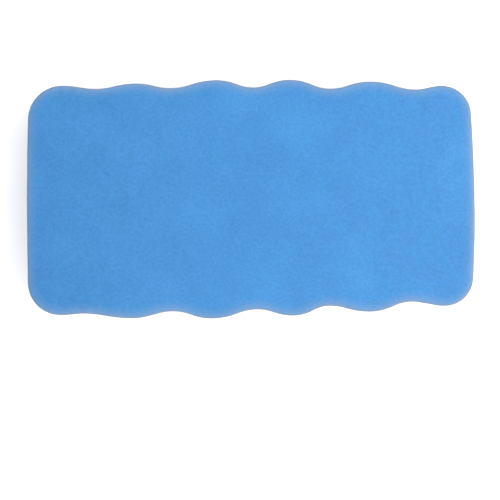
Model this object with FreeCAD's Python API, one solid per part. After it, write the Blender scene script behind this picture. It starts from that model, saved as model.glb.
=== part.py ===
"""Laminated foam board eraser with scalloped finger sides.

Frame: millimetres, +X along the length, +Y across the width, +Z up from the
wiping face to the back.  The origin is the centre of the bounding box on the
wiping face, so the eraser lies on its felt at z = 0.
"""
import FreeCAD
import Part
import math
import os

# Driving dimensions, millimetres.
half_length = 55.0
felt_thickness = 2.5
glue_thickness = 0.15
backing_thickness = 4.3
grip_thickness = 13.9

# Crests and troughs of the two scalloped long sides, left to right, as (x, y).
# The first and last of each side are the points where the corner rounds start.
# The front side runs in towards the right, so the right end is the narrower one.
rear_side = [
    (-46.3, 27.9), (-38.2, 27.1), (-28.1, 28.4), (-20.0, 27.2), (-8.4, 29.2), (0.5, 27.4),
    (9.6, 29.3), (19.4, 27.1), (29.3, 28.9), (40.4, 26.9), (47.0, 27.9),
]
front_side = [
    (-46.8, -28.5), (-41.1, -28.1), (-29.3, -29.2), (-19.0, -27.5), (-9.6, -29.3), (1.7, -27.0),
    (10.3, -28.6), (19.4, -26.1), (29.0, -27.6), (39.6, -25.1), (47.7, -26.2),
]
crest_share = 0.56          # part of each half wave that belongs to its crest
rear_left_radius = 8.5
front_left_radius = 8.0
rear_right_radius = 7.1
front_right_radius = 7.0

crown_drop = 0.5            # the back is this much lower at the short ends than in the middle
back_rim_radius = 0.6
felt_rim_radius = 0.8

magnet_radius = 5.0
magnet_thickness = 4.0
magnet_clearance = 0.1      # between a magnet and the wall of its punched hole
magnet_offset = 30.0        # from the middle to each magnet, along the length

# Levels of the layers, from the wiping face up.
backing_bottom = felt_thickness + glue_thickness
backing_top = backing_bottom + backing_thickness
grip_bottom = backing_top + glue_thickness
grip_top = grip_bottom + grip_thickness


def point(x, y, z=0):
    return FreeCAD.Vector(x, y, z)


def level_arc(apex, end):
    """An arc from apex, where it runs along X, to end."""
    run = end[0] - apex[0]
    rise = end[1] - apex[1]
    radius = (run ** 2 + rise ** 2) / (2 * rise)
    lean = math.atan(rise / run)
    middle = point(apex[0] + radius * math.sin(lean), apex[1] + radius * (1 - math.cos(lean)))
    return Part.Arc(point(*apex), middle, point(*end)).toShape()


def scalloped_side(tips):
    """Crests and troughs joined by pairs of tangent arcs."""
    edges = []
    for index in range(len(tips) - 1):
        here, there = tips[index], tips[index + 1]
        share = crest_share if index % 2 == 0 else 1 - crest_share
        bend = (here[0] + share * (there[0] - here[0]), here[1] + share * (there[1] - here[1]))
        edges.append(level_arc(here, bend))
        edges.append(level_arc(there, bend))
    return edges


def corner_points(centre, radius, outward, first, last):
    """Start, middle and end of a corner round; angles in radians from the outward X direction."""
    stations = []
    for angle in (first, (first + last) / 2, last):
        across = outward * radius * math.cos(angle)
        stations.append(point(centre[0] + across, centre[1] + radius * math.sin(angle)))
    return stations


def short_end(rear_tip, rear_radius, front_tip, front_radius, outward):
    """Two corner rounds and the slightly bowed end between them; outward is 1 or -1."""
    rear_centre = (rear_tip[0], rear_tip[1] - rear_radius)
    front_centre = (front_tip[0], front_tip[1] + front_radius)
    span = rear_centre[1] - front_centre[1]
    rear_gap = half_length - abs(rear_centre[0]) - rear_radius
    front_gap = half_length - abs(front_centre[0]) - front_radius
    rear_lean = (3 * rear_gap + front_gap) / span
    front_lean = (3 * front_gap + rear_gap) / span
    rear_round = corner_points(rear_centre, rear_radius, outward, math.pi / 2, rear_lean)
    front_round = corner_points(front_centre, front_radius, outward, -math.pi / 2, -front_lean)
    middle = point(outward * half_length, (rear_round[2].y + front_round[2].y) / 2)
    return [
        Part.Arc(*rear_round).toShape(),
        Part.Arc(rear_round[2], middle, front_round[2]).toShape(),
        Part.Arc(*front_round).toShape(),
    ]


def outline_face():
    """The die-cut outline that all layers share, as a face at z = 0."""
    edges = scalloped_side(rear_side) + scalloped_side(front_side)
    edges += short_end(rear_side[-1], rear_right_radius, front_side[-1], front_right_radius, 1)
    edges += short_end(rear_side[0], rear_left_radius, front_side[0], front_left_radius, -1)
    wire = Part.Wire(Part.__sortEdges__(edges))
    return Part.Face(wire)


def layer(bottom, thickness):
    """A flat layer of the laminate."""
    slab = outline_face().extrude(point(0, 0, thickness))
    slab.translate(point(0, 0, bottom))
    return slab


def upper_rim(block):
    """The edges round the top of the foam block: those with both ends above its lowest crown."""
    level = grip_top - 2 * crown_drop
    return [edge for edge in block.Edges if min(vertex.Z for vertex in edge.Vertexes) > level]


def lower_rim(sheet):
    """The edges round the bottom of a sheet that lies at z = 0."""
    level = felt_thickness / 2
    return [edge for edge in sheet.Edges if max(vertex.Z for vertex in edge.Vertexes) < level]


def crown_drum():
    """A wide drum, lying across, whose top is the back's middle line and drops towards both ends."""
    radius = half_length ** 2 / (2 * crown_drop)
    width = 2 * half_length
    return Part.makeCylinder(radius, width, point(0, -width / 2, grip_top - radius), point(0, 1, 0))


def foam_grip():
    """The thick foam block that the hand holds, with a crowned back and a soft upper rim."""
    block = layer(grip_bottom, grip_thickness).common(crown_drum()).Solids[0]
    return block.makeFillet(back_rim_radius, upper_rim(block))


def glue_film(bottom):
    """A thin sheet of adhesive between two layers."""
    return layer(bottom, glue_thickness)


def magnet(x):
    """A disc magnet, lying on the lower glue film in its hole."""
    return Part.makeCylinder(magnet_radius, magnet_thickness, point(x, 0, backing_bottom))


def foam_backing():
    """The firm foam sheet, punched right through for the magnets."""
    sheet = layer(backing_bottom, backing_thickness)
    hole_radius = magnet_radius + magnet_clearance
    for x in (-magnet_offset, magnet_offset):
        hole = Part.makeCylinder(hole_radius, backing_thickness, point(x, 0, backing_bottom))
        sheet = sheet.cut(hole)
    return sheet.Solids[0]


def felt_pad():
    """The felt wiping sheet, with its lower edge rounded over by wear."""
    sheet = layer(0, felt_thickness)
    return sheet.makeFillet(felt_rim_radius, lower_rim(sheet))


nodes = {
    "foam_grip": foam_grip(),
    "upper_glue_film": glue_film(backing_top),
    "foam_backing": foam_backing(),
    "magnet_left": magnet(-magnet_offset),
    "magnet_right": magnet(magnet_offset),
    "lower_glue_film": glue_film(felt_thickness),
    "felt_pad": felt_pad(),
}

os.makedirs("parts", exist_ok=True)
for name, shape in nodes.items():
    shape.exportStep(os.path.join("parts", name + ".step"))
    print(name, "valid:", shape.isValid(), "solids:", len(shape.Solids), "mm3:", round(shape.Volume, 1))
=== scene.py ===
"""Looks of the laminated foam board eraser: dense foam layers, felt with separate fibres, studio light.

Lengths are millimetres, except the floor's and the lights', which are metres like the stored meshes.
"""
import itertools
import math

import bpy
import numpy as np
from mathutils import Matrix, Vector
from mathutils.geometry import delaunay_2d_cdt


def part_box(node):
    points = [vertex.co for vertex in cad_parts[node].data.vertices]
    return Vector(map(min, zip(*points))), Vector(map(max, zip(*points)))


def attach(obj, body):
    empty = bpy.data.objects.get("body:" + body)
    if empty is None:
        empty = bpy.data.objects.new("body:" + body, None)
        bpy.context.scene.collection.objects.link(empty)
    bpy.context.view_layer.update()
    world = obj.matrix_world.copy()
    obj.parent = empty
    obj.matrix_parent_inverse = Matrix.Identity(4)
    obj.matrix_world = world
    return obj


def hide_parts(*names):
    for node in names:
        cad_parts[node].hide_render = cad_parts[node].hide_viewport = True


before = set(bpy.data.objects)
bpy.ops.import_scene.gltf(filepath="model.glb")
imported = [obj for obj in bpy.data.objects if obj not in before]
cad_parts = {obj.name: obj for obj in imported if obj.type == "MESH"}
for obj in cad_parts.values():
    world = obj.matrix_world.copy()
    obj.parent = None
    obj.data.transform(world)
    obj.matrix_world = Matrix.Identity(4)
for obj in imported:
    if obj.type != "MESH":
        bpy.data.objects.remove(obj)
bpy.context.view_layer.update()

MM = 0.001
BODY = "root"
SEED = 20
OUTLINE_NODE = "upper_glue_film"    # a plain sheet with the outline that every layer shares

# Levels and sizes that the frame gives, in millimetres.
grip_low, grip_high = (corner.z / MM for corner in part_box("foam_grip"))
backing_low, backing_high = (corner.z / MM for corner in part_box("foam_backing"))
felt_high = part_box("felt_pad")[1].z / MM
half_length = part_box("foam_grip")[1].x / MM
half_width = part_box("foam_grip")[1].y / MM


# ---------------------------------------------------------------- shape tools

def noise_at(points, cell, seed):
    """Smooth noise from about -1 to 1 at an array of 3-D points, with features one cell across."""
    place = np.asarray(points, float) / cell
    base = np.floor(place).astype(np.int64)
    part = place - base
    part = part * part * (3 - 2 * part)
    total = np.zeros(len(place))
    # Each corner of a point's cell has a fixed random value, hashed from its whole-number place.
    for corner in itertools.product((0, 1), repeat=3):
        at = (base + np.array(corner)).astype(np.uint64)
        mixed = at[:, 0] * np.uint64(73856093) ^ at[:, 1] * np.uint64(19349663)
        mixed ^= at[:, 2] * np.uint64(83492791) ^ np.uint64(seed * 2654435761)
        mixed ^= mixed >> np.uint64(13)
        mixed *= np.uint64(6364136223846793005)
        mixed ^= mixed >> np.uint64(29)
        value = (mixed & np.uint64(0xFFFF)).astype(float) / 32767.5 - 1
        total += value * np.prod(np.where(corner, part, 1 - part), axis=1)
    return total


def ramp(value, start, end):
    """0 before start, 1 after end, smooth between."""
    share = np.clip((value - start) / (end - start), 0, 1)
    return share * share * (3 - 2 * share)


def deep(points, z=0.0):
    """2-D points with a height added."""
    return np.column_stack([points, np.full(len(points), z) if np.isscalar(z) else z])


class Outline:
    """The die-cut outline that the layers share, read from a CAD node as evenly spaced points."""

    def __init__(self, count, softness=0.6):
        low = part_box(OUTLINE_NODE)[0].z
        found = set()
        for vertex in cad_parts[OUTLINE_NODE].data.vertices:
            if abs(vertex.co.z - low) < 1e-6:
                found.add((round(vertex.co.x / MM, 4), round(vertex.co.y / MM, 4)))
        ordered = sorted(found, key=lambda at: math.atan2(at[1], at[0]))
        loop = np.array(ordered + ordered[:1])
        along = np.concatenate([[0], np.cumsum(np.linalg.norm(np.diff(loop, axis=0), axis=1))])
        self.length = along[-1]
        stations = np.linspace(0, self.length, count, endpoint=False)
        even = np.interp(stations, along, loop[:, 0]) + 1j * np.interp(stations, along, loop[:, 1])
        # A Gaussian filter round the closed loop takes off the small corners between the CAD's short edges.
        waves = np.fft.fftfreq(count, 1 / count) * 2 * math.pi / self.length
        soft = np.fft.ifft(np.fft.fft(even) * np.exp(-(waves * softness) ** 2 / 2))
        self.points = np.column_stack([soft.real, soft.imag])
        heading = np.roll(self.points, -1, axis=0) - np.roll(self.points, 1, axis=0)
        heading /= np.linalg.norm(heading, axis=1)[:, None]
        self.outward = np.column_stack([heading[:, 1], -heading[:, 0]])

    def ring(self, inset, z):
        """The outline moved in by inset, at height z; both are a number or one value per point."""
        inset = np.broadcast_to(inset, len(self.points))
        height = np.broadcast_to(z, len(self.points))
        return np.column_stack([self.points - self.outward * inset[:, None], height])


def inside(points, loop, margin):
    """Which 2-D points lie inside a closed loop and at least margin from its corners."""
    ends = np.roll(loop, -1, axis=0)
    result = np.zeros(len(points), bool)
    for first in range(0, len(points), 2000):
        part = points[first:first + 2000]
        x, y = part[:, :1], part[:, 1:]
        crosses = (loop[:, 1] > y) != (ends[:, 1] > y)
        rise = ends[:, 1] - loop[:, 1]
        rise = np.where(np.abs(rise) < 1e-12, 1e-12, rise)
        reach = loop[:, 0] + (y - loop[:, 1]) * (ends[:, 0] - loop[:, 0]) / rise
        within = (crosses & (x < reach)).sum(1) % 2 == 1
        away = np.sqrt((x - loop[:, 0]) ** 2 + (y - loop[:, 1]) ** 2).min(1) > margin
        result[first:first + 2000] = within & away
    return result


def circle(centre, radius, count):
    """Points round a circle, as 2-D points."""
    turns = np.linspace(0, 2 * math.pi, count, endpoint=False)
    return np.column_stack([centre[0] + radius * np.cos(turns), centre[1] + radius * np.sin(turns)])


def fill(loop, step, holes=()):
    """Triangles that fill a loop but not its round holes: (new inner points, triangles).

    Triangles index the loop first, then each hole's points, then the inner points.
    """
    rng = np.random.default_rng(SEED)
    discs = [(hole.mean(0), np.linalg.norm(hole[0] - hole.mean(0))) for hole in holes]
    low, high = loop.min(0), loop.max(0)
    grid = np.stack(np.meshgrid(np.arange(low[0], high[0], step), np.arange(low[1], high[1], step)), -1)
    grid = grid.reshape(-1, 2)
    grid[:, 0] += (np.round((grid[:, 1] - low[1]) / step) % 2) * step / 2
    grid += rng.uniform(-0.16, 0.16, grid.shape) * step
    keep = inside(grid, loop, 0.6 * step)
    for centre, radius in discs:
        keep &= np.linalg.norm(grid - centre, axis=1) > radius + 0.5 * step
    inner = grid[keep]
    rims = [loop, *holes]
    edges = []
    start = 0
    for rim in rims:
        edges += [(start + i, start + (i + 1) % len(rim)) for i in range(len(rim))]
        start += len(rim)
    points = np.vstack([*rims, inner])
    found = delaunay_2d_cdt([Vector(p) for p in points.tolist()], edges, [], 1, 1e-6)
    source = [group[0] if group else -1 for group in found[3]]
    triangles = np.array([[source[corner] for corner in face] for face in found[2]])
    middles = points[triangles].mean(1)
    for centre, radius in discs:
        outside = np.linalg.norm(middles - centre, axis=1) > radius * 0.999
        triangles, middles = triangles[outside], middles[outside]
    return inner, triangles


def level_at(height):
    """The height function of a flat cap."""
    return lambda inner: np.full(len(inner), height)


class Shell:
    """A closed mesh put together from rings and caps, in millimetres."""

    def __init__(self):
        self.points = []
        self.faces = []
        self.count = 0

    def add(self, points):
        """Adds points and gives the first one's index."""
        start = self.count
        self.points.append(np.asarray(points, float))
        self.count += len(points)
        return start

    def wall(self, starts, size):
        """Quads between successive rings of the same size, given by their first indices."""
        around = np.arange(size)
        after = (around + 1) % size
        for low, high in zip(starts[:-1], starts[1:]):
            quads = np.column_stack([low + around, low + after, high + after, high + around])
            self.faces += quads.tolist()

    def cap(self, ring_start, ring, step, height, up, holes=(), hole_starts=()):
        """Fills a ring's inside with points step apart; height(points) gives their z."""
        inner, triangles = fill(ring[:, :2], step, holes)
        first_inner = self.add(deep(inner, height(inner)))
        index = [np.arange(len(ring)) + ring_start]
        for hole, start in zip(holes, hole_starts):
            index.append(np.arange(len(hole)) + start)
        index.append(np.arange(len(inner)) + first_inner)
        triangles = np.concatenate(index)[triangles]
        self.faces += (triangles if up else triangles[:, ::-1]).tolist()

    def piece(self, name, move=None):
        """The finished object; move(points) gives the points their small unevenness first."""
        points = np.vstack(self.points)
        if move is not None:
            points = move(points)
        return smooth_object(name, points, self.faces)


def smooth_object(name, points, faces):
    """A smooth-shaded mesh object from points in millimetres."""
    mesh = bpy.data.meshes.new(name)
    mesh.from_pydata((points * MM).tolist(), [], faces)
    mesh.validate()
    mesh.polygons.foreach_set("use_smooth", [True] * len(mesh.polygons))
    mesh.update()
    made = bpy.data.objects.new(name, mesh)
    bpy.context.scene.collection.objects.link(made)
    return made


def jitter(points, cell, size, seed):
    """Points moved a little each way by smooth noise."""
    shift = [noise_at(points, cell, seed + axis) for axis in range(3)]
    return points + size * np.column_stack(shift)


def mark_rim(piece, edge, reach):
    """Stores how near each point is to the outline: 1 on it, 0 at reach millimetres or more."""
    flat = np.array([point.co.xy for point in piece.data.vertices]) / MM
    nearest = np.empty(len(flat))
    for first in range(0, len(flat), 2000):
        gap = flat[first:first + 2000, None] - edge.points[None]
        nearest[first:first + 2000] = np.linalg.norm(gap, axis=2).min(1)
    stored = piece.data.attributes.new("near_rim", "FLOAT", "POINT")
    stored.data.foreach_set("value", 1 - np.clip(nearest / reach, 0, 1))


# ---------------------------------------------------------------- shape of the laminate

EDGE_POINTS = 900           # points in each layer's outline
CROWN_DROP = 0.5            # how far the back falls from its middle to the short ends
BEAD_SHARE = 0.09           # gap that the black foam and the felt leave for glue, round the outside
FACE = 0.02                 # height of the felt's wiping face over the table, before its unevenness
GRIP_TUCK = 1.5             # how far in the hidden flat faces start, for each kind of layer
LAYER_TUCK = 1.2
GLUE_TUCK = 1.0


def back_height(points):
    """Height of the eraser's back over 2-D points: a slight crown and the soft waves of foam sheet."""
    spot = deep(points)
    waves = 0.05 * noise_at(spot, 21, 3) + 0.018 * noise_at(spot, 5.5, 4)
    wave_room = 0.06
    return grip_high - wave_room - CROWN_DROP * (points[:, 0] / half_length) ** 2 + waves


def lean(points, z):
    """Inset of the lower layers: the right end is cut in under the grip, the left end stands proud."""
    below = np.maximum(grip_low - z, 0)
    right = 0.10 * below * ramp(points[:, 0], 45, 54)
    left = 0.035 * below * ramp(-points[:, 0], 48, 54)
    return right - left


def felt_edge(points):
    """Height of the uneven joint between black foam and felt, round the outside."""
    spot = deep(points)
    front = ramp(-points[:, 1], 15, 24)
    worn = 0.55 * np.exp(-((points[:, 0] + 41) / 7) ** 2) * front
    raised = 0.35 * ramp(points[:, 0], 43, 52)
    rough = 0.24 * noise_at(spot, 6.5, 11) + 0.16 * noise_at(spot, 1.7, 12) + 0.07 * noise_at(spot, 0.6, 13)
    return felt_high - 0.13 - worn + raised + rough


def foam_seam(points):
    """Height of the slightly wavy joint between blue and black foam, round the outside."""
    spot = deep(points)
    sag = -0.12 * (points[:, 0] / half_length) ** 2
    return grip_low + 0.07 + sag + 0.06 * noise_at(spot, 4.5, 15) + 0.05 * noise_at(spot, 1.2, 16)


def upper_glue_line(points):
    """Middle height of the upper glue bead, in the gap that the black foam leaves under the blue."""
    return foam_seam(points) - BEAD_SHARE / 2


def foam_grip_block():
    """The thick blue block: upright die-cut walls, a soft upper rim and a gently crowned back."""
    edge = Outline(EDGE_POINTS)
    shell = Shell()
    rim_radius = 0.5 + 0.55 * ramp(edge.points[:, 0], 44, 54)
    rim_radius += 0.07 * noise_at(deep(edge.points), 4, 5)
    top = back_height(edge.points)
    low = foam_seam(edge.points)
    base = grip_low + 0.02
    starts = [shell.add(edge.ring(GRIP_TUCK, base)), shell.add(edge.ring(0.12, low))]
    wall_rows, rim_rows = 30, 9
    for share in np.linspace(0.008, 1, wall_rows):
        starts.append(shell.add(edge.ring(0.0, low + share * (top - rim_radius - low))))
    for turn in np.linspace(0, math.pi / 2, rim_rows)[1:]:
        inset = rim_radius * (1 - math.cos(turn))
        starts.append(shell.add(edge.ring(inset, top - rim_radius * (1 - math.sin(turn)))))
    # Rings on the back, close together by the rim, so that the paler rim colour fades smoothly.
    for step in (0.25, 0.6, 1.1, 1.7, 2.4):
        ring = edge.ring(rim_radius + step, 0.0)
        ring[:, 2] = back_height(ring[:, :2])
        starts.append(shell.add(ring))
    shell.wall(starts, EDGE_POINTS)
    shell.cap(starts[-1], ring, step=0.85, height=back_height, up=True)
    shell.cap(starts[0], edge.ring(GRIP_TUCK, base), step=4, height=level_at(base), up=False)

    def surface(points):
        moved = jitter(points, 7, 0.035, 30)
        return jitter(moved, 1.4, 0.016, 40)

    block = shell.piece("foam_grip_block", surface)
    mark_rim(block, edge, 3.4)
    return block


def glue_sheet(name, low, high, middle, bulge):
    """A thin glue film whose squeezed edge follows the joint's height given by middle(points)."""
    edge = Outline(EDGE_POINTS)
    shell = Shell()
    height = middle(edge.points)
    skew = lean(edge.points, height)
    recess = 0.06
    swell = 0.015           # the edge is thicker than the film inside by this much, up and down
    half = (high - low) / 2 + swell
    squeeze = bulge * (0.6 + 0.4 * noise_at(deep(edge.points), 1.6, 50))
    starts = [shell.add(edge.ring(GLUE_TUCK, low))]
    for turn in np.linspace(-math.pi / 2, math.pi / 2, 7):
        inset = skew - squeeze * math.cos(turn) + recess
        starts.append(shell.add(edge.ring(inset, height + half * math.sin(turn))))
    starts.append(shell.add(edge.ring(GLUE_TUCK, high)))
    shell.wall(starts, EDGE_POINTS)
    ring = edge.ring(GLUE_TUCK, low)
    shell.cap(starts[0], ring, step=4, height=level_at(low), up=False)
    shell.cap(starts[-1], ring, step=4, height=level_at(high), up=True)
    return shell.piece(name)


def foam_backing_sheet():
    """The black foam sheet, with a hole right through it round each magnet."""
    edge = Outline(EDGE_POINTS)
    shell = Shell()
    high = foam_seam(edge.points) - BEAD_SHARE
    low = felt_edge(edge.points) + BEAD_SHARE
    starts = [shell.add(edge.ring(LAYER_TUCK, backing_low))]
    wall_rows = 15
    for share in np.linspace(0, 1, wall_rows):
        z = low + share * (high - low)
        roll = 0.10 * (2 * share - 1) ** 6
        starts.append(shell.add(edge.ring(lean(edge.points, z) + roll, z)))
    starts.append(shell.add(edge.ring(LAYER_TUCK, backing_high)))
    shell.wall(starts, EDGE_POINTS)
    clearance = 0.1             # between a magnet and the wall of its hole
    holes, floors, roofs = [], [], []
    for magnet in ("magnet_left", "magnet_right"):
        corners = [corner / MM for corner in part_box(magnet)]
        centre = (corners[0] + corners[1]) / 2
        hole = circle(centre, (corners[1].x - corners[0].x) / 2 + clearance, 96)
        holes.append(hole)
        floors.append(shell.add(deep(hole, backing_low)))
        roofs.append(shell.add(deep(hole, backing_high)))
        shell.wall([roofs[-1], floors[-1]], len(hole))
    ring = edge.ring(LAYER_TUCK, 0.0)
    spacing = 2.2
    shell.cap(starts[0], ring, spacing, level_at(backing_low), False, holes, floors)
    shell.cap(starts[-1], ring, spacing, level_at(backing_high), True, holes, roofs)

    def surface(points):
        rough = jitter(jitter(points, 2.2, 0.03, 60), 0.7, 0.022, 70)
        near_edge = ~inside(points[:, :2], edge.ring(0.8, 0.0)[:, :2], 0.0)
        return np.where(near_edge[:, None], rough, points)

    return shell.piece("foam_backing_sheet", surface)


def felt_rim(x):
    """Rounding of the felt's lower edge as (rise, inset): tight along the sides, worn round at the ends."""
    worn = ramp(x, 40, 54)
    rise = 0.45 + 1.45 * worn + 0.55 * ramp(-x, 46, 54)
    return rise, rise * (1 + 0.55 * worn)


def felt_body():
    """The needle-punched felt: lumpy sides, a rounded lower edge and a slightly uneven wiping face."""
    edge = Outline(EDGE_POINTS)
    shell = Shell()
    x = edge.points[:, 0]
    high = felt_edge(edge.points) - BEAD_SHARE
    rise, inset = felt_rim(x)
    uneven = 0.10 * noise_at(deep(edge.points), 3, 21)
    rise = rise + uneven
    inset = inset + uneven
    starts = []
    rim_rows, wall_rows = 9, 9
    for turn in np.linspace(0, math.pi / 2, rim_rows):
        z = rise * (1 - math.cos(turn)) + FACE
        starts.append(shell.add(edge.ring(inset * (1 - math.sin(turn)) + lean(edge.points, z), z)))
    for share in np.linspace(0, 1, wall_rows)[1:]:
        z = rise + share * (high - rise)
        starts.append(shell.add(edge.ring(lean(edge.points, z), z)))
    starts.append(shell.add(edge.ring(LAYER_TUCK, felt_high)))
    shell.wall(starts, EDGE_POINTS)
    face = edge.ring(inset + lean(edge.points, FACE), FACE)
    shell.cap(starts[0], face, step=0.6, height=level_at(FACE), up=False)
    shell.cap(starts[-1], edge.ring(LAYER_TUCK, 0.0), step=4, height=level_at(felt_high), up=True)

    def surface(points):
        lumps = jitter(jitter(points, 3.4, 0.10, 80), 1.1, 0.075, 90)
        lumps = jitter(lumps, 0.5, 0.03, 95)
        # The hidden top stays flat, and nothing goes below the table.
        within = inside(points[:, :2], edge.ring(0.9, 0.0)[:, :2], 0.0) & (points[:, 2] > 1)
        lumps[within] = points[within]
        lumps[:, 2] = np.maximum(lumps[:, 2], 0.0)
        return lumps

    return shell.piece("felt_body", surface)


# ---------------------------------------------------------------- felt fibres

STATIONS = 7                                        # points along each fibre
SHARE = np.linspace(0, 1, STATIONS)[None, :]        # how far along its fibre each of them is


def tubes(name, paths, radii, sides=3):
    """Many closed thin tubes in one mesh; paths is (tubes, stations, 3) and radii is (tubes,)."""
    count, stations, _ = paths.shape
    along = np.gradient(paths, axis=1)
    along /= np.linalg.norm(along, axis=2, keepdims=True) + 1e-12
    reference = np.array([0.31, 0.52, 0.79])    # hardly any fibre runs just this way
    across = np.cross(along, reference)
    across /= np.linalg.norm(across, axis=2, keepdims=True) + 1e-12
    other = np.cross(along, across)
    taper = 1 - 0.55 * np.abs(np.linspace(-1, 1, stations)) ** 3
    width = radii[:, None] * taper[None, :]
    rings = []
    for turn in np.arange(sides) * 2 * math.pi / sides:
        spoke = across * math.cos(turn) + other * math.sin(turn)
        rings.append(paths + spoke * width[:, :, None])
    points = np.stack(rings, axis=2).reshape(-1, 3)
    base = (np.arange(count) * stations * sides)[:, None, None]
    level = (np.arange(stations - 1) * sides)[None, :, None]
    side = np.arange(sides)[None, None, :]
    after = (side + 1) % sides
    start = base + level
    quads = np.stack([start + side, start + after, start + sides + after, start + sides + side], axis=-1)
    first = base[:, 0] + np.arange(sides)[None, ::-1]
    last = base[:, 0] + (stations - 1) * sides + np.arange(sides)[None, :]
    faces = quads.reshape(-1, 4).tolist() + first.tolist() + last.tolist()
    return smooth_object(name, points, faces)


def wandering(rng, lengths, bend):
    """A flat curved path from the origin for each length, as two arrays: offsets along and up."""
    count = len(lengths)
    heading = rng.normal(0, 0.55, count)
    heading += np.where(rng.random(count) < 0.25, rng.uniform(-1.4, 1.4, count), 0)
    curl = rng.normal(0, bend, count)
    wave = rng.normal(0, bend * 0.7, count)
    turn = heading[:, None] + curl[:, None] * SHARE + wave[:, None] * np.sin(SHARE * 6.0)
    step = lengths[:, None] / (STATIONS - 1)
    along = np.cumsum(np.cos(turn) * step, axis=1)
    up = np.cumsum(np.sin(turn) * step, axis=1)
    return along - along[:, :1], up - up[:, :1]


def side_fibres(count):
    """Loose fibres that lie over the felt's cut side and stand a little out of it."""
    rng = np.random.default_rng(SEED + 1)
    edge = Outline(4000)
    along, up = wandering(rng, rng.uniform(1.0, 5.2, count), 0.9)
    along += rng.uniform(0, edge.length, count)[:, None]
    up += rng.uniform(0.1, 2.7, count)[:, None]
    index = np.floor(along / edge.length * len(edge.points)).astype(int) % len(edge.points)
    place, out = edge.points[index], edge.outward[index]
    flat_place = place.reshape(-1, 2)
    top = felt_edge(flat_place).reshape(count, STATIONS) + rng.uniform(-0.1, 0.35, count)[:, None]
    z = np.clip(up, 0.14, top)
    arch = rng.uniform(0.02, 0.16, count)[:, None] * np.sin(SHARE * math.pi)
    loose = (rng.random(count) < 0.10)[:, None] * rng.uniform(0.1, 0.45, count)[:, None] * SHARE ** 2
    # The fibres follow the felt's own lean and its rounded lower edge.
    inset = lean(flat_place, z.reshape(-1)).reshape(count, STATIONS)
    rise, reach_in = felt_rim(place[:, :, 0])
    drop = np.clip((rise - z) / rise, 0, 1)
    inset += reach_in * (1 - np.sqrt(1 - drop ** 2 * 0.98))
    reach = arch + loose - inset - 0.03
    flat = place + out * reach[:, :, None]
    paths = np.concatenate([flat, z[:, :, None]], axis=2)
    return tubes("felt_side_fibres", paths, rng.uniform(0.018, 0.042, count))


def face_fibres(count):
    """Fibres felted flat over the wiping face."""
    rng = np.random.default_rng(SEED + 2)
    edge = Outline(400)
    along, up = wandering(rng, rng.uniform(1.5, 7.0, count), 1.2)
    heading = rng.uniform(0, 2 * math.pi, count)[:, None]
    x = along * np.cos(heading) - up * np.sin(heading)
    x += rng.uniform(-half_length, half_length, count)[:, None]
    y = along * np.sin(heading) + up * np.cos(heading)
    y += rng.uniform(-half_width, half_width, count)[:, None]
    within = inside(np.column_stack([x.ravel(), y.ravel()]), edge.ring(1.3, 0.0)[:, :2], 0.2)
    keep = within.reshape(count, STATIONS).all(axis=1)
    rise = 0.06 - rng.uniform(0, 0.06, count)[:, None] * np.sin(SHARE * math.pi)
    paths = np.stack([x, y, np.broadcast_to(rise, x.shape)], axis=2)[keep]
    return tubes("felt_face_fibres", paths, rng.uniform(0.02, 0.045, len(paths)))


# ---------------------------------------------------------------- materials

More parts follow.
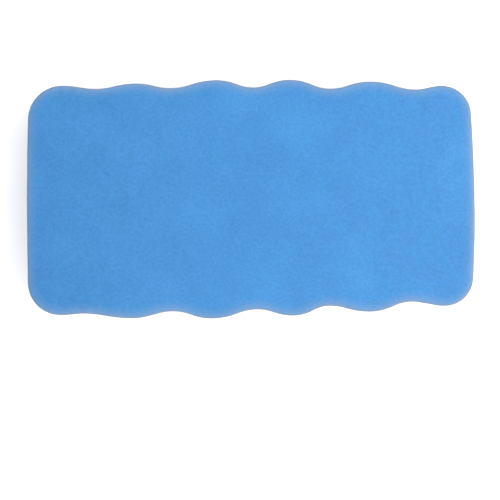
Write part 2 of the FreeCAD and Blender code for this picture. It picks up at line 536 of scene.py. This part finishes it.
class Surface:
    """A procedural material: a Principled shader fed by patterns in object space, in millimetres.

    Keywords set the shader's own sockets, with _ for a space.
    """

    def __init__(self, name, **sockets):
        self.material = bpy.data.materials.new(name)
        self.material.use_nodes = True
        self.tree = self.material.node_tree
        self.shader = self.tree.nodes["Principled BSDF"]
        for socket, value in sockets.items():
            self.shader.inputs[socket.replace("_", " ")].default_value = value
        place = self.node("ShaderNodeTexCoord").outputs["Object"]
        scaled = self.node("ShaderNodeVectorMath", {0: place, 1: (1 / MM,) * 3}, operation="MULTIPLY")
        self.place = scaled.outputs[0]
        split = self.node("ShaderNodeSeparateXYZ", {0: self.place})
        self.x, self.y, self.z = split.outputs
        normal = self.node("ShaderNodeNewGeometry").outputs["Normal"]
        self.facing_up = self.node("ShaderNodeSeparateXYZ", {0: normal}).outputs[2]

    def node(self, kind, inputs=None, **settings):
        """A new node; an input that is another node's socket is linked, and any other value is set."""
        made = self.tree.nodes.new(kind)
        for key, value in settings.items():
            setattr(made, key, value)
        for key, value in (inputs or {}).items():
            if isinstance(value, bpy.types.NodeSocket):
                self.tree.links.new(value, made.inputs[key])
            else:
                made.inputs[key].default_value = value
        return made

    def noise(self, size, detail=2.0, stretch=(1, 1, 1), turn=(0, 0, 0), shift=0.0):
        """Noise with features of about size millimetres, longer along axes with more stretch.

        turn is in radians, and shift picks another part of the same pattern.
        """
        scale = tuple(1 / (size * length) for length in stretch)
        turned = self.node("ShaderNodeMapping", {0: self.place, "Rotation": turn}, vector_type="POINT")
        shifted = {0: turned.outputs[0], "Location": (shift,) * 3, "Scale": scale}
        moved = self.node("ShaderNodeMapping", shifted).outputs[0]
        return self.node("ShaderNodeTexNoise", {"Vector": moved, "Scale": 1.0, "Detail": detail}).outputs[0]

    def dots(self, size, share, shift=0.0):
        """1 inside small scattered dots; share is the dot's radius as a part of the cell."""
        shifted = {0: self.place, "Location": (shift,) * 3, "Scale": (1 / size,) * 3}
        moved = self.node("ShaderNodeMapping", shifted).outputs[0]
        cells = self.node("ShaderNodeTexVoronoi", {"Vector": moved, "Scale": 1.0})
        return self.level(cells.outputs["Distance"], share, share * 0.5)

    def level(self, value, low, high, to_low=0.0, to_high=1.0):
        """value taken smoothly from low..high to to_low..to_high, and held there beyond."""
        made = self.node("ShaderNodeMapRange", {0: value, 1: low, 2: high, 3: to_low, 4: to_high},
                         interpolation_type="SMOOTHSTEP", clamp=True)
        return made.outputs[0]

    def maths(self, operation, first, second):
        """One step of arithmetic on two numbers or sockets."""
        return self.node("ShaderNodeMath", {0: first, 1: second}, operation=operation).outputs[0]

    def add(self, first, second):
        return self.maths("ADD", first, second)

    def minus(self, first, second):
        return self.maths("SUBTRACT", first, second)

    def times(self, first, second):
        return self.maths("MULTIPLY", first, second)

    def grey(self, value):
        """A number as a colour."""
        return self.node("ShaderNodeCombineXYZ", {0: value, 1: value, 2: value}).outputs[0]

    def mix_value(self, factor, first, second):
        """A number between first and second."""
        return self.node("ShaderNodeMix", {0: factor, 2: first, 3: second}, data_type="FLOAT").outputs[0]

    def mix(self, factor, first, second, blend="MIX"):
        """A colour between first and second, or second blended over first another way."""
        made = self.node("ShaderNodeMix", data_type="RGBA", blend_type=blend, clamp_factor=True)
        for socket, value in ((made.inputs[0], factor), (made.inputs[6], first), (made.inputs[7], second)):
            if isinstance(value, bpy.types.NodeSocket):
                self.tree.links.new(value, socket)
            else:
                socket.default_value = (*value, 1) if isinstance(value, tuple) else value
        return made.outputs[2]

    def wire(self, colour, roughness, height):
        """Feeds the shader and gives the finished material; height is the fine relief in millimetres."""
        self.tree.links.new(colour, self.shader.inputs["Base Color"])
        self.tree.links.new(roughness, self.shader.inputs["Roughness"])
        bump = self.node("ShaderNodeBump", {"Height": height, "Strength": 1.0, "Distance": MM})
        self.tree.links.new(bump.outputs[0], self.shader.inputs["Normal"])
        return self.material


def blue_foam():
    """Sky blue EVA foam: a smooth matt skin on the back, fine open cells on the cut sides."""
    look = Surface("blue_foam", Specular_IOR_Level=0.22, Sheen_Weight=0.07, Sheen_Roughness=0.40)
    cut = look.level(look.facing_up, 0.55, 0.15)
    cloud = look.noise(15, 3)
    patch = look.noise(5.0, 3, shift=7)
    grain = look.noise(0.60, 3, shift=3)
    colour = look.mix(look.level(cloud, 0.28, 0.74), (0.0231, 0.1332, 0.3284), (0.0282, 0.1536, 0.3608))
    colour = look.mix(look.level(patch, 0.40, 0.75), colour, (0.0278, 0.1489, 0.3460))
    # Painted shade: the back is a little darker towards the left, as if lit from the right.
    painted_left_shade = look.mix_value(cut, look.level(look.x, -66, 30, 0.885, 1.0), 1.0)
    colour = look.mix(1.0, colour, look.grey(painted_left_shade), "MULTIPLY")
    colour = look.mix(cut, colour, (0.755, 0.865, 0.980), "MULTIPLY")
    speck = look.level(grain, 0.3, 0.7, 0.915, 1.085)
    # On the cut sides the cells are drawn out sideways.
    drawn = look.level(look.noise(0.28, 2, (4, 4, 1), shift=21), 0.32, 0.68, 0.88, 1.12)
    shade = look.times(speck, look.mix_value(cut, 1.0, drawn))
    colour = look.mix(1.0, colour, look.grey(shade), "MULTIPLY")
    # Painted shade: the scattered pits on the cut sides are darkened where shade falls inside them.
    pits = look.times(look.dots(3.0, 0.09, 5), cut)
    colour = look.mix(look.times(pits, 0.5), colour, (0.010, 0.062, 0.19))
    # Dusty lilac just above the joint with the black foam.
    seam_wave = look.add(look.z, look.level(look.noise(2.2, 2, shift=11), 0.3, 0.7, -0.25, 0.25))
    seam = look.times(look.level(seam_wave, grip_low + 1.5, grip_low + 0.2), cut)
    colour = look.mix(look.times(seam, 0.75), colour, (0.082, 0.138, 0.285))
    # The back's rim is paler near its edge, partly from wear where hands rub it and partly painted sheen of
    # the rounded edge catching light, and dirty right at its edge.
    near = look.node("ShaderNodeAttribute", attribute_name="near_rim").outputs["Fac"]
    near = look.times(near, look.level(look.noise(1.3, 3, shift=13), 0.3, 0.7, 0.90, 1.0))
    on_back = look.level(look.facing_up, 0.0, 0.30)
    # Painted shade: the rim colours are darker at the left end, as if lit from the right.
    painted_left_rim_shade = look.grey(look.level(look.x, -55, -47, 0.80, 1.0))
    # Paler rim colour: partly wear, partly painted sheen.
    worn = look.mix(1.0, (0.106, 0.184, 0.298), painted_left_rim_shade, "MULTIPLY")
    colour = look.mix(look.times(look.maths("POWER", near, 2.2), on_back), colour, worn)
    dirty = look.mix(1.0, (0.106, 0.156, 0.232), painted_left_rim_shade, "MULTIPLY")
    colour = look.mix(look.times(look.level(near, 0.70, 0.97, 0.0, 0.7), on_back), colour, dirty)
    # Fine relief: cells, pores and pits.
    cells = look.noise(0.16, 2, shift=17)
    pores = look.noise(0.6, 3, shift=19)
    relief = look.add(look.times(cells, 0.020), look.times(pores, 0.030))
    relief = look.minus(relief, look.times(pits, 0.06))
    roughness = look.level(patch, 0.3, 0.7, 0.52, 0.66)
    return look.wire(colour, roughness, relief)


def black_foam():
    """Firm black EVA foam: navy where it meets the blue, slate below, a little brown lower down."""
    look = Surface("black_foam", Specular_IOR_Level=0.07, Sheen_Weight=0.05, Sheen_Roughness=0.3)
    navy, slate, brown = (0.0015, 0.0100, 0.0300), (0.0062, 0.0088, 0.0130), (0.0092, 0.0078, 0.0070)
    streak = look.noise(0.5, 3, (6, 6, 1))
    grain = look.noise(0.3, 2, shift=5)
    height = look.add(look.z, look.level(look.noise(3, 2, shift=9), 0.3, 0.7, -0.4, 0.4))
    colour = look.mix(look.level(height, backing_low + 0.3, backing_high - 1.0), brown, slate)
    colour = look.mix(look.level(height, backing_high - 1.2, backing_high + 0.1), colour, navy)
    colour = look.mix(look.level(streak, 0.45, 0.75, 0.0, 0.5), colour, (0.0150, 0.0145, 0.0150))
    dust = look.times(look.dots(1.3, 0.12, 2), look.level(grain, 0.45, 0.6))
    colour = look.mix(look.times(dust, 0.5), colour, (0.09, 0.075, 0.065))
    relief = look.add(look.times(grain, 0.05), look.times(streak, 0.06))
    return look.wire(colour, look.level(grain, 0.3, 0.7, 0.62, 0.82), relief)


def joint_dust(look):
    """How much of the black foam's dust is on the felt: most near their joint, in uneven tongues."""
    wave = look.add(look.z, look.level(look.noise(1.8, 3, shift=15), 0.3, 0.7, -0.55, 0.55))
    return look.level(wave, felt_high - 1.05, felt_high - 0.05, 0.0, 0.85)


def felt_look():
    """Grey recycled felt: light and dark fibres in slanting tufts, black dust along the top of the side and
    a painted contact shadow along its lower edge.
    """
    look = Surface("grey_felt", Specular_IOR_Level=0.1, Sheen_Weight=0.15, Sheen_Roughness=0.6)
    tufts = look.noise(0.45, 3, (4, 4, 1), (0, 0.45, 0.45))
    strands = look.noise(0.22, 2, (6, 6, 1), (0, -0.5, -0.35), 5)
    clumps = look.noise(2.6, 3, (1.6, 1.6, 1), shift=9)
    mottle = look.add(look.times(tufts, 0.45), look.times(strands, 0.25))
    mottle = look.add(mottle, look.times(clumps, 0.40))
    # Painted light: the felt is a little lighter towards the right end, as if lit from the right.
    painted_right_light = look.level(look.x, 36, 50, 0.0, 0.045)
    smudge = look.times(look.level(look.x, -46, -38), look.level(look.x, -27, -33))
    smudge = look.times(smudge, look.level(look.y, -12, -20, 0.0, 0.085))
    mottle = look.minus(look.add(mottle, painted_right_light), smudge)
    colour = look.mix(look.level(mottle, 0.44, 0.68), (0.021, 0.021, 0.022), (0.145, 0.144, 0.144))
    side = look.level(look.facing_up, -0.95, -0.70)
    # Painted shade: the side darkens towards the table along its lower edge, as a contact shadow.
    low = look.times(look.level(look.z, 0.66, 0.30), side)
    colour = look.mix(look.times(low, 0.85), colour, (0.006, 0.006, 0.006))
    upper = look.times(joint_dust(look), side)
    colour = look.mix(upper, colour, (0.0120, 0.0125, 0.0140))
    relief = look.add(look.times(tufts, 0.16), look.times(strands, 0.10))
    return look.wire(colour, look.level(tufts, 0.3, 0.7, 0.82, 0.97), relief)


def fibre_look():
    """Single felt fibres, each its own grey, darker where they cling to the black foam, with a painted
    contact shadow near the table.
    """
    look = Surface("felt_fibre", Specular_IOR_Level=0.2, Sheen_Weight=0.1, Sheen_Roughness=0.4)
    each = look.node("ShaderNodeNewGeometry").outputs["Random Per Island"]
    colour = look.mix(look.level(each, 0.0, 1.0), (0.025, 0.025, 0.027), (0.21, 0.207, 0.205))
    fleck = look.noise(0.5, 2)
    colour = look.mix(look.level(fleck, 0.4, 0.7, 0.0, 0.35), colour, (0.07, 0.07, 0.075))
    # Black foam dust near the joint, and painted contact shadow low on the side near the table; the fibres
    # on the face are left out.
    edges = look.maths("MAXIMUM", joint_dust(look), look.level(look.z, 0.62, 0.30, 0.0, 0.88))
    edges = look.times(edges, look.level(look.z, 0.07, 0.12))
    colour = look.mix(edges, colour, (0.009, 0.009, 0.010))
    return look.wire(colour, look.level(fleck, 0.3, 0.7, 0.6, 0.85), look.times(fleck, 0.005))


def glue_look(name, dull, pale):
    """Dried contact glue, from dull where it is thin to pale where it is squeezed out."""
    look = Surface(name, Specular_IOR_Level=0.3, Sheen_Weight=0.05)
    cloud = look.noise(1.5, 3)
    fine = look.noise(0.3, 2, shift=3)
    colour = look.mix(look.level(cloud, 0.42, 0.65), dull, pale)
    return look.wire(colour, look.level(fine, 0.3, 0.7, 0.35, 0.6), look.times(fine, 0.03))


def magnet_look():
    """Sintered ferrite: dark, slightly shiny and finely ground."""
    look = Surface("ferrite", Specular_IOR_Level=0.5, Metallic=0.2)
    grind = look.noise(0.25, 2, (8, 1, 1))
    fleck = look.noise(0.4, 3, shift=3)
    colour = look.mix(look.level(fleck, 0.35, 0.7), (0.030, 0.030, 0.034), (0.075, 0.075, 0.082))
    return look.wire(colour, look.level(grind, 0.3, 0.7, 0.35, 0.55), look.times(grind, 0.01))


def floor_look():
    """A plain white paper floor."""
    look = Surface("white_paper", Specular_IOR_Level=0.2, Roughness=0.9)
    fibre = look.noise(6, 3)
    colour = look.mix(look.level(fibre, 0.3, 0.7), (0.92, 0.92, 0.92), (0.935, 0.935, 0.932))
    return look.wire(colour, look.level(fibre, 0.3, 0.7, 0.85, 0.95), look.times(fibre, 0.02))


def dress(piece, material):
    """Gives the piece one material in place of any it has."""
    piece.data.materials.clear()
    piece.data.materials.append(material)


# ---------------------------------------------------------------- the eraser

grip = foam_grip_block()
dress(grip, blue_foam())
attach(grip, BODY)
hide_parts("foam_grip")

backing = foam_backing_sheet()
dress(backing, black_foam())
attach(backing, BODY)
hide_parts("foam_backing")

felt = felt_body()
dress(felt, felt_look())
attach(felt, BODY)
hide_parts("felt_pad")

upper_glue = glue_sheet("upper_glue_bead", backing_high, grip_low, upper_glue_line, 0.09)
lower_glue = glue_sheet("lower_glue_bead", felt_high, backing_low, felt_edge, -0.15)
dress(upper_glue, glue_look("lilac_glue", (0.060, 0.110, 0.240), (0.190, 0.240, 0.380)))
dress(lower_glue, glue_look("smoky_glue", (0.008, 0.008, 0.009), (0.020, 0.021, 0.023)))
for piece, node in ((upper_glue, "upper_glue_film"), (lower_glue, "lower_glue_film")):
    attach(piece, BODY)
    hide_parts(node)

FIBRES_TRIED = 3600         # on each of the side and the face; those that leave the face are dropped
fibre_material = fibre_look()
for piece in (side_fibres(FIBRES_TRIED), face_fibres(FIBRES_TRIED)):
    dress(piece, fibre_material)
    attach(piece, BODY)

ferrite = magnet_look()
for node in ("magnet_left", "magnet_right"):
    dress(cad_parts[node], ferrite)


# ---------------------------------------------------------------- floor, light and camera

def paper_floor(radius):
    """A round sheet just under the felt, in metres; the small gap keeps the lowest fibres out of it."""
    gap = 0.0001
    mesh = bpy.data.meshes.new("paper_floor")
    rim = circle((0, 0), radius, 128)
    mesh.from_pydata(deep(rim, -gap).tolist(), [], [list(range(len(rim)))])
    floor = bpy.data.objects.new("paper_floor", mesh)
    bpy.context.scene.collection.objects.link(floor)
    dress(floor, floor_look())


def add_lamp(name, kind, place, power):
    """A light at place, in metres, aimed at the eraser; gives its data."""
    data = bpy.data.lights.new(name, kind)
    data.energy = power
    lamp = bpy.data.objects.new(name, data)
    lamp.location = place
    lamp.rotation_euler = (-Vector(place)).to_track_quat("-Z", "Y").to_euler()
    bpy.context.scene.collection.objects.link(lamp)
    return data


def soft_box(name, place, size, power):
    """A square area light, size metres across."""
    data = add_lamp(name, "AREA", place, power)
    data.shape = "SQUARE"
    data.size = size


def distant_light(name, place, spread, power):
    """A sun from the direction of place, spread degrees across, so that its shadows are soft."""
    data = add_lamp(name, "SUN", place, power)
    data.angle = math.radians(spread)


def white_room(walls, ceiling):
    """A white room: its radiance is walls near the horizon and ceiling overhead, with a soft change."""
    world = bpy.data.worlds.new("white_room")
    world.use_nodes = True
    tree = world.node_tree
    direction = tree.nodes.new("ShaderNodeTexCoord").outputs["Generated"]
    split = tree.nodes.new("ShaderNodeSeparateXYZ")
    fade = tree.nodes.new("ShaderNodeMapRange")
    fade.interpolation_type = "SMOOTHSTEP"
    near_horizon, overhead = 0.15, 0.60
    for socket, value in ((1, near_horizon), (2, overhead), (3, walls), (4, ceiling)):
        fade.inputs[socket].default_value = value
    tree.links.new(direction, split.inputs[0])
    tree.links.new(split.outputs[2], fade.inputs[0])
    background = tree.nodes["Background"]
    background.inputs[0].default_value = (1, 1, 1, 1)
    tree.links.new(fade.outputs[0], background.inputs[1])
    bpy.context.scene.world = world


def camera_above():
    """Straight above, as far off as the lens needs, with the eraser in the picture's upper part."""
    lens, sensor = 100.0, 36.0
    share_of_width = 0.8961     # of the picture, for the eraser's length
    share_below = 0.1014        # of the picture's width, from the eraser's middle down to the picture's
    aside = -0.25
    rim_height = grip_high - 1.3    # the level at which the shares hold
    picture_width = 2 * half_length / share_of_width
    below_middle = share_below * picture_width
    data = bpy.data.cameras.new("camera")
    data.lens = lens
    data.sensor_width = sensor
    data.clip_start, data.clip_end = 0.01, 20
    camera = bpy.data.objects.new("camera", data)
    height = rim_height + picture_width * lens / sensor
    camera.location = (aside * MM, -below_middle * MM, height * MM)
    bpy.context.scene.collection.objects.link(camera)
    bpy.context.scene.camera = camera


paper_floor(6.0)
white_room(1.35, 0.85)
distant_light("sky_right", (0.38, -0.20, 0.90), 90, 1.60)
distant_light("wall_left", (-0.95, 0.30, 0.22), 40, 1.25)
distant_light("wall_right", (0.95, 0.30, 0.22), 40, 0.75)
soft_box("key_right", (0.42, -0.10, 0.62), 0.45, 4.7)
camera_above()
bpy.context.scene.view_settings.view_transform = "Standard"
